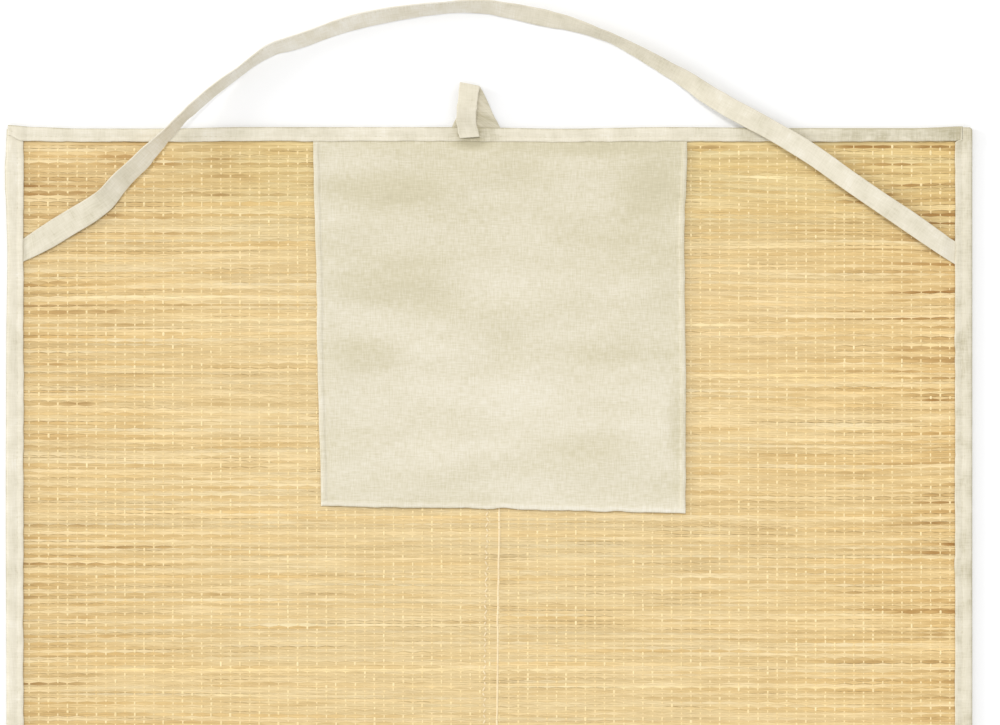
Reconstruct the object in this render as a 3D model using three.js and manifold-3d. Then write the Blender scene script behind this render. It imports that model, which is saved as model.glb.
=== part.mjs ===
// A straw beach mat lying open: a woven straw sheet bound all round with folded cotton tape, a cotton
// panel for the head, a long shoulder strap sewn to both side bindings and a short hanging loop.
// Millimetres, +Z up. The origin is the middle of the straw sheet's underside, +X runs across the mat
// to the right and +Y runs along it to the head end.

import * as THREE from "three";
import Module from "manifold-3d";
import { mergeVertices } from "three/addons/utils/BufferGeometryUtils.js";

// Driving dimensions
const MAT_WIDTH = 600;
const MAT_LENGTH = 1800;
const STRAW_THICKNESS = 2.6;
const SEWN_MARGIN_THICKNESS = 1;
const TAPE_THICKNESS = 1;
const BINDING_WIDTH = { left: 10.6, right: 10.9, head: 8.7, foot: 8.7 };
const HEAD_TAPE_FOLD_SLANT = 3;
const CORNER = 12;
const CORNER_CUT = 1.6;
const PANEL_THICKNESS = 1;
const STRAP_WIDTH = 12;
const STRAP_THICKNESS = 1.2;
const CLEARANCE = 0.3;
const CUT_MARGIN = 10;

// Heights that follow from them
const SLOT_LOW = TAPE_THICKNESS;
const MARGIN_LOW = SLOT_LOW + CLEARANCE;
const MARGIN_HIGH = MARGIN_LOW + SEWN_MARGIN_THICKNESS;
const SLOT_HIGH = MARGIN_HIGH + CLEARANCE;
const BINDING_HEIGHT = SLOT_HIGH + TAPE_THICKNESS;
const PANEL_LOW = STRAW_THICKNESS + CLEARANCE;

// How far the left and the head edge stand out from a straight line, at places along them
const LEFT_EDGE = [
  { at: 900, out: 0 },
  { at: 884, out: 0.6 },
  { at: 876, out: 1.2 },
  { at: 865, out: 1.1 },
  { at: 848, out: 0.3 },
  { at: 822, out: -0.4 },
  { at: 765, out: 0.3 },
  { at: 670, out: 0.6 },
  { at: 545, out: 0.2 },
  { at: 400, out: 0 },
];
const HEAD_EDGE = [
  { at: -300, out: 1.6 },
  { at: -281, out: 0.3 },
  { at: -255, out: -0.6 },
  { at: -205, out: -0.6 },
  { at: -150, out: 0.3 },
  { at: -20, out: 0.3 },
  { at: 45, out: -0.7 },
  { at: 110, out: 0.3 },
  { at: 190, out: -0.3 },
  { at: 262, out: -0.3 },
  { at: 300, out: 0.9 },
];

// The furthest that each of them falls back behind the straight line
const LEFT_DIP = Math.max(...LEFT_EDGE.map((row) => -row.out));
const HEAD_DIP = Math.max(...HEAD_EDGE.map((row) => -row.out));

// The head panel seen from above, from its left head corner round to its right one. Its head edge
// stops at the binding.
const PANEL_OUTLINE = [
  { x: -109.6, y: 900 },
  { x: -107.2, y: 781 },
  { x: -104.7, y: 664.9 },
  { x: -40, y: 663.7 },
  { x: 60, y: 661.9 },
  { x: 121.7, y: 660.6 },
  { x: 121.9, y: 741 },
  { x: 121.2, y: 849 },
  { x: 122.1, y: 858 },
  { x: 122.7, y: 900 },
];

// The shoulder strap's middle line from the left binding to the right one: its place, its height, and
// how far its inner half, next to the mat, and its outer half lean, in degrees. A lean above zero
// lifts the outer side. The strap is flat over the straw, rises as it crosses the head binding and
// leans all along its bow.
const STRAP_ROUTE = [
  { x: -297, y: 820, z: 3.6, inner: 0, outer: 0 },
  { x: -288, y: 825, z: 3.6, inner: 0, outer: 0 },
  { x: -268, y: 838, z: 3.8, inner: 0, outer: 0 },
  { x: -249, y: 849.2, z: 4.2, inner: 0, outer: 4 },
  { x: -239, y: 856.2, z: 5.6, inner: 15, outer: 24 },
  { x: -231, y: 864.4, z: 7.2, inner: 26, outer: 30 },
  { x: -221, y: 873.8, z: 8.7, inner: 27, outer: 32 },
  { x: -215.5, y: 879, z: 9.4, inner: 29, outer: 34 },
  { x: -211.5, y: 883.2, z: 9.8, inner: 38, outer: 41 },
  { x: -206.3, y: 888.3, z: 10.4, inner: 50, outer: 52 },
  { x: -201, y: 893.8, z: 10.9, inner: 59, outer: 60 },
  { x: -195, y: 900, z: 11.2, inner: 64, outer: 65 },
  { x: -188.8, y: 906.1, z: 10.7, inner: 66, outer: 66 },
  { x: -182.7, y: 912.1, z: 9.6, inner: 66, outer: 66 },
  { x: -171.5, y: 921.9, z: 7.8, inner: 65, outer: 65 },
  { x: -157, y: 933.1, z: 6.4, inner: 72, outer: 72 },
  { x: -149, y: 939.1, z: 6.3, inner: 70, outer: 70 },
  { x: -141, y: 944.8, z: 6.1, inner: 65, outer: 65 },
  { x: -133, y: 949, z: 5.8, inner: 59, outer: 59 },
  { x: -125, y: 951.4, z: 5.6, inner: 55, outer: 55 },
  { x: -116, y: 954, z: 5.5, inner: 53, outer: 53 },
  { x: -105, y: 958.2, z: 5.4, inner: 52, outer: 52 },
  { x: -90, y: 963.3, z: 5.3, inner: 50, outer: 50 },
  { x: -75, y: 967.3, z: 5.3, inner: 50, outer: 50 },
  { x: -60, y: 970.2, z: 5.4, inner: 53, outer: 53 },
  { x: -45, y: 972.3, z: 5.8, inner: 59, outer: 59 },
  { x: -30, y: 973.9, z: 6, inner: 63, outer: 63 },
  { x: -15, y: 974.9, z: 5.9, inner: 60, outer: 60 },
  { x: 0, y: 974.3, z: 5.5, inner: 54, outer: 54 },
  { x: 13, y: 972.4, z: 5.2, inner: 49, outer: 49 },
  { x: 26, y: 969.6, z: 4.8, inner: 43, outer: 43 },
  { x: 37, y: 967.2, z: 4.8, inner: 44, outer: 44 },
  { x: 46, y: 965.2, z: 5.2, inner: 50, outer: 50 },
  { x: 54, y: 962.8, z: 5.8, inner: 58, outer: 58 },
  { x: 62, y: 960.2, z: 6.1, inner: 65, outer: 65 },
  { x: 70, y: 957.2, z: 6.3, inner: 69, outer: 69 },
  { x: 80, y: 953, z: 6.2, inner: 68, outer: 68 },
  { x: 90, y: 947.7, z: 6, inner: 63, outer: 63 },
  { x: 100, y: 942.3, z: 5.7, inner: 56, outer: 56 },
  { x: 108, y: 937.6, z: 5.4, inner: 51, outer: 51 },
  { x: 117.9, y: 931.8, z: 5.4, inner: 48, outer: 40 },
  { x: 125.4, y: 927, z: 5.8, inner: 42, outer: 26 },
  { x: 132.8, y: 921.8, z: 6.1, inner: 30, outer: 12 },
  { x: 140.3, y: 917.2, z: 6.4, inner: 20, outer: 4 },
  { x: 147.7, y: 912.9, z: 6.6, inner: 14, outer: 0 },
  { x: 155.1, y: 909, z: 6.7, inner: 12, outer: 0 },
  { x: 175.5, y: 897.7, z: 6.9, inner: 4, outer: 0 },
  { x: 199, y: 883.5, z: 6.6, inner: 2, outer: 2 },
  { x: 224, y: 866, z: 6.9, inner: 10, outer: 6 },
  { x: 252, y: 847, z: 6.8, inner: 6, outer: 4 },
  { x: 277, y: 830, z: 5.2, inner: 0, outer: 0 },
  { x: 288, y: 823, z: 3.8, inner: 0, outer: 0 },
  { x: 296, y: 818, z: 3.6, inner: 0, outer: 0 },
];

// The hanging loop's middle line: sewn down on the head binding, out and over, and back along the
// surface to the binding's edge, where its folds open out. Its width is set at each place, and so is
// how far it's turned in the mat's plane, in degrees.
const LOOP_ROUTE = [
  { x: -12.4, y: 893.6, z: 4.5, width: 12.2, turn: -4 },
  { x: -13.3, y: 896.4, z: 4.6, width: 12.2, turn: -3 },
  { x: -14, y: 899.3, z: 5.1, width: 12, turn: -1 },
  { x: -14.6, y: 903, z: 6.3, width: 11.9, turn: 0 },
  { x: -14.6, y: 907, z: 7.8, width: 11.8, turn: 1 },
  { x: -14.2, y: 911.4, z: 8.9, width: 11.8, turn: 3 },
  { x: -13.6, y: 916.5, z: 8.5, width: 11.8, turn: 6 },
  { x: -13, y: 922, z: 6.4, width: 11.9, turn: 9 },
  { x: -12.5, y: 925.8, z: 4, width: 12, turn: 11 },
  { x: -12.3, y: 926.6, z: 2, width: 12.2, turn: 11 },
  { x: -11.6, y: 924, z: 0.9, width: 13.2, turn: 6 },
  { x: -9.9, y: 915, z: 0.7, width: 17.6, turn: 0 },
  { x: -9, y: 907.5, z: 0.7, width: 22.6, turn: 0 },
  { x: -8.7, y: 901.2, z: 0.7, width: 28.8, turn: 0 },
];
const SECTIONS_PER_ROW = 3;

const wasm = await Module();
wasm.setup();

// Colours and finishes
const strawMaterial = new THREE.MeshStandardMaterial({ color: "#dcbd7c", roughness: 0.6, metalness: 0 });
const tapeMaterial = new THREE.MeshStandardMaterial({ color: "#e6ddc0", roughness: 0.9, metalness: 0 });
const panelMaterial = new THREE.MeshStandardMaterial({ color: "#e0d9c0", roughness: 0.9, metalness: 0 });

// How far an edge stands out at one place, between the rows of its table
function standsOut(rows, at) {
  const below = rows.filter((row) => row.at <= at).sort((a, b) => b.at - a.at)[0];
  const beyond = rows.filter((row) => row.at > at).sort((a, b) => a.at - b.at)[0];
  if (!below || !beyond) return (below ?? beyond).out;
  return THREE.MathUtils.mapLinear(at, below.at, beyond.at, below.out, beyond.out);
}

// The mat's outline, drawn in from each edge by its own inset
function outline({ left, right, head, foot }, cornerCut = 0) {
  const xLow = -MAT_WIDTH / 2 + left;
  const xHigh = MAT_WIDTH / 2 - right;
  const yLow = -MAT_LENGTH / 2 + foot;
  const yHigh = MAT_LENGTH / 2 - head;
  const onHead = (x) => [x, yHigh + standsOut(HEAD_EDGE, x)];
  const onLeft = (y) => [xLow - standsOut(LEFT_EDGE, y), y];
  const headRows = HEAD_EDGE.map((row) => row.at).filter((x) => Math.abs(x) < MAT_WIDTH / 2 - CORNER);
  const leftRows = LEFT_EDGE.map((row) => row.at).filter((y) => y < MAT_LENGTH / 2 - CORNER);
  const points = [
    [xLow, yLow],
    [xHigh, yLow],
    [xHigh, yHigh - cornerCut],
    onHead(xHigh - cornerCut),
    ...headRows.reverse().map(onHead),
    onHead(xLow),
    ...leftRows.map(onLeft),
  ];
  return points.map(([x, y]) => new THREE.Vector2(x, y));
}

function evenInset(inset) {
  return { left: inset, right: inset, head: inset, foot: inset };
}

function widerBy(widths, extra) {
  return Object.fromEntries(Object.entries(widths).map(([edge, width]) => [edge, width + extra]));
}

// A flat plate with the given outline between two heights
function plate(points, low, high) {
  const geometry = new THREE.ExtrudeGeometry(new THREE.Shape(points), {
    depth: high - low,
    bevelEnabled: false,
  });
  return geometry.translate(0, 0, low);
}

function solidOf(geometry) {
  geometry.deleteAttribute("normal");
  geometry.deleteAttribute("uv");
  const merged = mergeVertices(geometry);
  return new wasm.Manifold(
    new wasm.Mesh({
      numProp: 3,
      vertProperties: new Float32Array(merged.attributes.position.array),
      triVerts: new Uint32Array(merged.index.array),
    }),
  );
}

function geometryOf(solid) {
  const { numProp, vertProperties, triVerts } = solid.getMesh();
  const geometry = new THREE.BufferGeometry();
  geometry.setAttribute("position", new THREE.BufferAttribute(vertProperties, numProp));
  geometry.setIndex(new THREE.BufferAttribute(triVerts, 1));
  return geometry;
}

// The woven straw: a full-thickness sheet with a thinner, pressed margin that the binding holds
function strawSheet() {
  const bodyInset = widerBy(BINDING_WIDTH, CLEARANCE);
  const body = solidOf(plate(outline(bodyInset), 0, STRAW_THICKNESS));
  const marginInset = evenInset(TAPE_THICKNESS + CLEARANCE);
  const margin = solidOf(plate(outline(marginInset), MARGIN_LOW, MARGIN_HIGH));
  return body.add(margin);
}

// The tape folded round all four edges, before it is parted into its four lengths
function bindingAllRound() {
  const whole = solidOf(plate(outline(evenInset(0), CORNER_CUT), 0, BINDING_HEIGHT));
  const inside = solidOf(plate(outline(BINDING_WIDTH), -CUT_MARGIN, BINDING_HEIGHT + CUT_MARGIN));
  const slot = solidOf(plate(outline(evenInset(TAPE_THICKNESS)), SLOT_LOW, SLOT_HIGH));
  return whole.subtract(inside).subtract(slot);
}

// Where each length of tape lies. The head tape's left end is folded over the side tape on a slant,
// and the right tape runs over the head tape's other end.
function tapeRegions() {
  const overlap = 2;
  const left = -MAT_WIDTH / 2 + BINDING_WIDTH.left;
  const right = MAT_WIDTH / 2 - BINDING_WIDTH.right;
  const head = MAT_LENGTH / 2 - BINDING_WIDTH.head - HEAD_DIP;
  const foot = -MAT_LENGTH / 2 + BINDING_WIDTH.foot;
  const farLeft = -MAT_WIDTH / 2 - CUT_MARGIN;
  const farRight = MAT_WIDTH / 2 + CUT_MARGIN;
  const farHead = MAT_LENGTH / 2 + CUT_MARGIN;
  const farFoot = -farHead;
  const slanted = head + HEAD_TAPE_FOLD_SLANT;
  return {
    binding_left: [
      [farLeft, farFoot],
      [left, farFoot],
      [left + overlap, head - CLEARANCE],
      [left, head - CLEARANCE],
      [farLeft, slanted - CLEARANCE],
    ],
    binding_right: [
      [right, farFoot],
      [farRight, farFoot],
      [farRight, farHead],
      [right, farHead],
    ],
    binding_head: [
      [farLeft, slanted],
      [left, head],
      [left + overlap, head - overlap],
      [right - CLEARANCE, head - overlap],
      [right - CLEARANCE, farHead],
      [farLeft, farHead],
    ],
    binding_foot: [
      [left + CLEARANCE, farFoot],
      [right - CLEARANCE, farFoot],
      [right - CLEARANCE, foot + overlap],
      [left + CLEARANCE, foot + overlap],
    ],
  };
}

function headPanel() {
  const top = MAT_LENGTH / 2 - BINDING_WIDTH.head - HEAD_DIP - CLEARANCE;
  const points = PANEL_OUTLINE.map(({ x, y }) => new THREE.Vector2(x, Math.min(y, top)));
  return plate(points.reverse(), PANEL_LOW, PANEL_LOW + PANEL_THICKNESS);
}

// A curve through the rows of a table, each row turned into a point by its own function
function through(rows, point) {
  return new THREE.CatmullRomCurve3(rows.map((row) => new THREE.Vector3(...point(row))));
}

function turned(along, across, angle) {
  return along.clone().multiplyScalar(Math.cos(angle)).addScaledVector(across, Math.sin(angle));
}

// One cross-section of a tape: its inner edge, middle and outer edge, below and above. The two halves
// lean by their own angles, so a crease is a V.
function tapeSection({ centre, side, normal, width, inner, outer }) {
  const half = width / 2;
  const crease = (inner - outer) / 2;
  const face = (angle) => turned(side, normal, angle + Math.PI / 2);
  const across = [
    [centre.clone().addScaledVector(turned(side, normal, inner), -half), face(inner)],
    [centre.clone(), face((inner + outer) / 2).divideScalar(Math.cos(crease))],
    [centre.clone().addScaledVector(turned(side, normal, outer), half), face(outer)],
  ];
  const offset = (distance) => across.map(([point, up]) => point.clone().addScaledVector(up, distance));
  return [...offset(-STRAP_THICKNESS / 2), ...offset(STRAP_THICKNESS / 2).reverse()];
}

// A closed tape through its cross-sections
function tape(sections) {
  const corners = sections[0].length;
  const positions = sections.flat().flatMap((corner) => corner.toArray());
  const indices = [];
  const last = (sections.length - 1) * corners;
  for (let start = 0; start < last; start += corners) {
    for (let corner = 0; corner < corners; corner++) {
      const next = (corner + 1) % corners;
      const [a, b, c, d] = [start + corner, start + next, start + corners + next, start + corners + corner];
      indices.push(a, b, c, a, c, d);
    }
  }
  for (const [a, b, c, d] of [[0, 1, 4, 5], [1, 2, 3, 4]]) {
    indices.push(a, c, b, a, d, c);
    indices.push(last + a, last + b, last + c, last + a, last + c, last + d);
  }
  const geometry = new THREE.BufferGeometry();
  geometry.setAttribute("position", new THREE.Float32BufferAttribute(positions, 3));
  geometry.setIndex(indices);
  return geometry;
}

// The strap lies on the straw and on the surface past the head edge. Its ends are cut along the side
// bindings' inner edges, which they are sewn to.
function shoulderStrap() {
  const route = through(STRAP_ROUTE, ({ x, y, z }) => [x, y, z]);
  const leans = through(STRAP_ROUTE, ({ inner, outer }) => [inner, outer, 0]);
  const count = (STRAP_ROUTE.length - 1) * SECTIONS_PER_ROW;
  const sections = [];
  for (let step = 0; step <= count; step++) {
    const along = route.getTangent(step / count);
    const lean = leans.getPoint(step / count);
    sections.push(
      tapeSection({
        centre: route.getPoint(step / count),
        side: new THREE.Vector3(-along.y, along.x, 0).normalize(),
        normal: new THREE.Vector3(0, 0, 1),
        width: STRAP_WIDTH,
        inner: THREE.MathUtils.degToRad(lean.x),
        outer: THREE.MathUtils.degToRad(lean.y),
      }),
    );
  }
  const left = -MAT_WIDTH / 2 + BINDING_WIDTH.left + LEFT_DIP + CLEARANCE;
  const right = MAT_WIDTH / 2 - BINDING_WIDTH.right - CLEARANCE;
  const between = new THREE.BoxGeometry(right - left, MAT_LENGTH, MAT_WIDTH);
  between.translate((left + right) / 2, MAT_LENGTH / 2, 0);
  return geometryOf(solidOf(tape(sections)).intersect(solidOf(between)));
}

function hangingLoop() {
  const route = through(LOOP_ROUTE, ({ x, y, z }) => [x, y, z]);
  const shapes = through(LOOP_ROUTE, ({ width, turn }) => [width, turn, 0]);
  const count = (LOOP_ROUTE.length - 1) * SECTIONS_PER_ROW;
  const sections = [];
  for (let step = 0; step <= count; step++) {
    const along = route.getTangent(step / count);
    const { x: width, y: degrees } = shapes.getPoint(step / count);
    const turn = THREE.MathUtils.degToRad(degrees);
    const side = new THREE.Vector3(-Math.cos(turn), Math.sin(turn), 0);
    const normal = new THREE.Vector3().crossVectors(along, side).normalize();
    sections.push(
      tapeSection({ centre: route.getPoint(step / count), side, normal, width, inner: 0, outer: 0 }),
    );
  }
  return tape(sections);
}

const group = new THREE.Group();

function addPiece(name, geometry, material) {
  geometry.computeVertexNormals();
  const mesh = new THREE.Mesh(geometry, material.clone());
  mesh.name = name;
  group.add(mesh);
}

addPiece("straw_mat", geometryOf(strawSheet()), strawMaterial);
const binding = bindingAllRound();
for (const [name, region] of Object.entries(tapeRegions())) {
  const points = region.map(([x, y]) => new THREE.Vector2(x, y));
  const cut = solidOf(plate(points, -CUT_MARGIN, BINDING_HEIGHT + CUT_MARGIN));
  addPiece(name, geometryOf(binding.intersect(cut)), tapeMaterial);
}
addPiece("pillow_panel", headPanel(), panelMaterial);
addPiece("shoulder_strap", shoulderStrap(), tapeMaterial);
addPiece("hanging_loop", hangingLoop(), tapeMaterial);

export default group;
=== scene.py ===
"""Straw beach mat: woven straw over cotton warps, four cotton bindings, a head panel, a shoulder strap and a loop.

Sizes in the code are in millimetres, and new_piece() turns them into metres.
"""

import math

import bpy
import numpy as np
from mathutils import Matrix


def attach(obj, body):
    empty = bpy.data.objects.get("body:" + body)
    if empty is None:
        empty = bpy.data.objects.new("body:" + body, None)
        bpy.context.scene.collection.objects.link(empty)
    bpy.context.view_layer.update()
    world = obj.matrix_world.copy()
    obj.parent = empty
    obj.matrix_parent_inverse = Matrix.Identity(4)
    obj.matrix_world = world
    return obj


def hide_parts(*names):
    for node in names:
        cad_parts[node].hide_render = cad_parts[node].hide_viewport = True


bl_info = {
    "name": "Straw beach mat",
    "version": (1, 0, 0),
    "blender": (4, 5, 0),
    "location": "3D View > Sidebar > Beach mat",
    "description": "Builds a woven straw beach mat with its bindings, head panel, strap and loop",
    "category": "Object",
}

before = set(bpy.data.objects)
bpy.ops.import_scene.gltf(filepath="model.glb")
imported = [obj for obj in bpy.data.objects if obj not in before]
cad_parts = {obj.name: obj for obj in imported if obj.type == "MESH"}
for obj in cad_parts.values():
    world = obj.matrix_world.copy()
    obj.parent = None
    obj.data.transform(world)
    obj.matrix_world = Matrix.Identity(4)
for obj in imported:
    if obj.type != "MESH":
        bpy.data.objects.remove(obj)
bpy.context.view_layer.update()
MM = 0.001
ACROSS, ALONG, UP = np.eye(3)
HALF_WIDTH, HALF_LENGTH = 300.0, 900.0
# The straw's ends under the bindings, and the corner of the field that shows between them.
STRAW_X, STRAW_Y = 296.0, 895.0
FIELD_X, FIELD_Y = 287.6, 889.4
# The view ends at about y = 529, so the finest weave lies beyond this line.
FINE_FROM = 518.0
THREADS = np.arange(-48, 49)
# Heights: a stem's ridge above this, and the stitches in the bindings and in the panel.
RIDGE_FOOT, SEAM_TOP, PANEL_SEAM_TOP = 1.62, 3.42, 3.6
# Heights of a binding's four faces, in the open, where another tape covers it and where it covers another.
OPEN, COVERED, COVERING = (0.0, 0.75, 2.72, 3.5), (0.55, 1.2, 2.3, 3.0), (0.0, 0.45, 3.1, 3.95)
# Sections of a binding's outer leaf from its edge: whether beside the seam, how far across, how much lower.
OUTER_LEAF = [
    (0, 1.0, 0.42), (0, 0.985, 0.12), (0, 0.93, 0.02), (0, 0.86, 0), (1, 0.075, 0.08), (1, 0, 0.3), (1, -0.075, 0.08),
    (0, 0.3, 0), (0, 0.17, 0.03), (0, 0.09, 0.2), (0, 0.035, 0.7),
]
# The same for its inner leaf, from the fold: how far across and how much higher.
INNER_LEAF = [(0.035, 0.4), (0.1, 0.1), (0.3, 0), (0.7, 0), (0.985, 0), (1.0, 0.1)]

# How far the left and head edges stand out, at places along them.
LEFT_EDGE = [
    (400, 0), (545, 0.2), (670, 0.6), (765, 0.3), (822, -0.4), (848, 0.3), (865, 1.1), (876, 1.2), (884, 0.6), (900, 0),
]
HEAD_EDGE = [
    (-300, 1.6), (-281, 0.3), (-255, -0.6), (-205, -0.6), (-150, 0.3), (-20, 0.3), (45, -0.7), (110, 0.3),
    (190, -0.3), (262, -0.3), (300, 0.9),
]
PANEL_LEFT = [(663.0, -104.6), (781, -107.2), (893, -109.5)]
PANEL_RIGHT = [
    (659.0, 121.7), (700, 121.9), (741, 121.9), (800, 121.3), (828, 121.0), (849, 121.2), (858, 122.1), (893, 122.7),
]
PANEL_BOTTOM = [(-105, 664.9), (-40, 663.7), (60, 661.9), (122, 660.6)]
# Painted shade (above 0) and painted light (below 0) of the panel's ripples, with painted shadows under the
# loop's foot and the head tape: middle, half its width and height, and how much.
PANEL_SHADES = [
    (-60, 861, 44, 11, 0.22), (-58, 801, 42, 20, 0.2), (51, 804, 27, 17, 0.12), (-77, 759, 27, 10, 0.28),
    (103, 858, 24, 22, 0.2), (98, 825, 28, 28, 0.12), (73, 761, 22, 10, 0.13), (67, 702, 26, 10, 0.14),
    (118, 718, 7, 29, 0.3), (60, 889, 66, 7, 0.28), (8, 767, 14, 14, 0.1), (-39, 686, 34, 10, 0.1),
    (-11, 891, 10, 4, 0.9), (0, 722, 92, 34, -0.12), (-70, 781, 36, 10, -0.14), (-45, 831, 36, 11, -0.14),
]
# Middle line of the strap, and how far its inner and outer half lean, in degrees.
STRAP_ROUTE = [
    (-297, 820, 3.6, 0, 0), (-288, 825, 3.6, 0, 0), (-268, 838, 3.8, 0, 0), (-249, 849.2, 4.2, 0, 4),
    (-239, 856.2, 5.6, 15, 24), (-231, 864.4, 7.2, 26, 30), (-221, 873.8, 8.7, 27, 32), (-215.5, 879, 9.4, 29, 34),
    (-211.5, 883.2, 9.8, 38, 41), (-206.3, 888.3, 10.4, 50, 52), (-201, 893.8, 10.9, 59, 60),
    (-195, 900, 11.2, 64, 65), (-188.8, 906.1, 10.7, 66, 66), (-182.7, 912.1, 9.6, 66, 66),
    (-171.5, 921.9, 7.8, 65, 65), (-157, 933.1, 6.4, 72, 72), (-149, 939.1, 6.3, 70, 70), (-141, 944.8, 6.1, 65, 65),
    (-133, 949, 5.8, 59, 59), (-125, 951.4, 5.6, 55, 55), (-116, 954, 5.5, 53, 53), (-105, 958.2, 5.4, 52, 52),
    (-90, 963.3, 5.3, 50, 50), (-75, 967.3, 5.3, 50, 50), (-60, 970.2, 5.4, 53, 53), (-45, 972.3, 5.8, 59, 59),
    (-30, 973.9, 6, 63, 63), (-15, 974.9, 5.9, 60, 60), (0, 974.3, 5.5, 54, 54), (13, 972.4, 5.2, 49, 49),
    (26, 969.6, 4.8, 43, 43), (37, 967.2, 4.8, 44, 44), (46, 965.2, 5.2, 50, 50), (54, 962.8, 5.8, 58, 58),
    (62, 960.2, 6.1, 65, 65), (70, 957.2, 6.3, 69, 69), (80, 953, 6.2, 68, 68), (90, 947.7, 6, 63, 63),
    (100, 942.3, 5.7, 56, 56), (108, 937.6, 5.4, 51, 51), (117.9, 931.8, 5.4, 48, 40), (125.4, 927, 5.8, 42, 26),
    (132.8, 921.8, 6.1, 30, 12), (140.3, 917.2, 6.4, 20, 4), (147.7, 912.9, 6.6, 14, 0), (155.1, 909, 6.7, 12, 0),
    (175.5, 897.7, 6.9, 4, 0), (199, 883.5, 6.6, 2, 2), (224, 866, 6.9, 10, 6), (252, 847, 6.8, 6, 4),
    (277, 830, 5.2, 0, 0), (288, 823, 3.8, 0, 0), (296, 818, 3.6, 0, 0),
]
# Middle line of the hanging loop and its width, from the front leg's end over the top to the back leg's.
LOOP_ROUTE = [
    (-12.4, 893.6, 4.5, 12.2, -4), (-13.3, 896.4, 4.6, 12.2, -3), (-14, 899.3, 5.1, 12, -1),
    (-14.6, 903, 6.3, 11.9, 0), (-14.6, 907, 7.8, 11.8, 1), (-14.2, 911.4, 8.9, 11.8, 3),
    (-13.6, 916.5, 8.5, 11.8, 6), (-13, 922, 6.4, 11.9, 9), (-12.5, 925.8, 4, 12, 11), (-12.3, 926.6, 2, 12.2, 11),
    (-11.6, 924, 0.9, 13.2, 6), (-9.9, 915, 0.7, 17.6, 0), (-9, 907.5, 0.7, 22.6, 0), (-8.7, 901.2, 0.7, 28.8, 0),
    (-8.6, 899.8, 0.7, 30, 0),
]


def linear(hex_colour, alpha=1.0):
    """An sRGB hex colour as the linear values that a shader takes."""
    parts = [int(hex_colour[i : i + 2], 16) / 255 for i in (1, 3, 5)]
    return [p / 12.92 if p <= 0.04045 else ((p + 0.055) / 1.055) ** 2.4 for p in parts] + [alpha]


def hex_of(colour):
    return "#" + "".join(f"{round(c * 255):02x}" for c in colour)


def eased(share):
    return share * share * (3 - 2 * share)


def smooth_step(value, low, high):
    return eased(np.clip((value - low) / (high - low), 0, 1))


def stretch(value, rises, falls):
    """1 from the end of rises to the start of falls, and 0 outside both."""
    return smooth_step(value, *rises) * (1 - smooth_step(value, *falls))


def bell(value, middle, half):
    return np.exp(-(((value - middle) / half) ** 2))


def patch(x, y, middle_x, middle_y, half_x, half_y):
    """1 within an oval round the middle and 0 outside it."""
    return np.exp(-((((x - middle_x) / half_x) ** 2 + ((y - middle_y) / half_y) ** 2) ** 2))


def joined(*parts):
    """Arrays or numbers, spread to one shape, side by side along a last axis."""
    return np.stack(np.broadcast_arrays(*parts), axis=-1)


def unit(ways):
    return ways / np.linalg.norm(ways, axis=-1, keepdims=True)


def summed(steps):
    """The running sum of the steps, from 0."""
    return np.concatenate([0 * steps[..., :1], np.cumsum(steps, axis=-1)], axis=-1)


def travelled(points):
    """How far it is along the points of a line, or of each row of a grid."""
    return summed(np.linalg.norm(np.diff(points, axis=-2), axis=-1))


def table_at(table, places):
    """The second column of a table, read at places along its first, eased from row to row."""
    at, out = np.array(sorted(table), dtype=float).T
    places = np.clip(places, at[0], at[-1])
    i = np.clip(np.searchsorted(at, places, side="right") - 1, 0, len(at) - 2)
    f = eased((places - at[i]) / (at[i + 1] - at[i]))
    return out[i] * (1 - f) + out[i + 1] * f


def wander(knots, places, spacing, start=-320.0):
    """Smooth random curves, one for each row of knots, read at the places."""
    t = (np.asarray(places, dtype=float) - start) / spacing
    i = np.floor(t).astype(int)
    f = eased(t - i)
    i = np.clip(i, 0, knots.shape[-1] - 2)
    return knots[..., i] * (1 - f) + knots[..., i + 1] * f


def through(rows, per_row):
    """A smooth curve through the rows of a table, with per_row sections for each."""
    p = np.array(rows, dtype=float)
    p = np.vstack([2 * p[0] - p[1], p, 2 * p[-1] - p[-2]])
    out = []
    for a, b, c, d in zip(p, p[1:], p[2:], p[3:]):
        for t in np.arange(per_row) / per_row:
            cubic = (2 * a - 5 * b + 4 * c - d) * t**2 + (3 * b - a - 3 * c + d) * t**3
            out.append(0.5 * (2 * b + (c - a) * t + cubic))
    return np.array(out + [p[-2]])


def grid(rows, columns, start=0):
    """The faces of a grid of points, row by row."""
    r, c = np.meshgrid(np.arange(rows - 1), np.arange(columns - 1), indexing="ij")
    a = (start + r * columns + c).ravel()
    return joined(a, a + 1, a + columns + 1, a + columns)


def closed_sheet(top, bottom):
    """Points and faces of cloth between two grids, closed along its edges."""
    n, m = top.shape[:2]
    i, j = np.arange(n - 1), np.arange(m - 1)
    t, b = lambda r, c: r * m + c, lambda r, c: n * m + r * m + c
    faces = [
        grid(n, m),
        grid(n, m, n * m)[:, ::-1],
        joined(t(0, j + 1), t(0, j), b(0, j), b(0, j + 1)),
        joined(t(n - 1, j), t(n - 1, j + 1), b(n - 1, j + 1), b(n - 1, j)),
        joined(t(i, 0), t(i + 1, 0), b(i + 1, 0), b(i, 0)),
        joined(t(i + 1, m - 1), t(i, m - 1), b(i, m - 1), b(i + 1, m - 1)),
    ]
    return np.concatenate([top.reshape(-1, 3), bottom.reshape(-1, 3)]), np.concatenate(faces)


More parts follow.
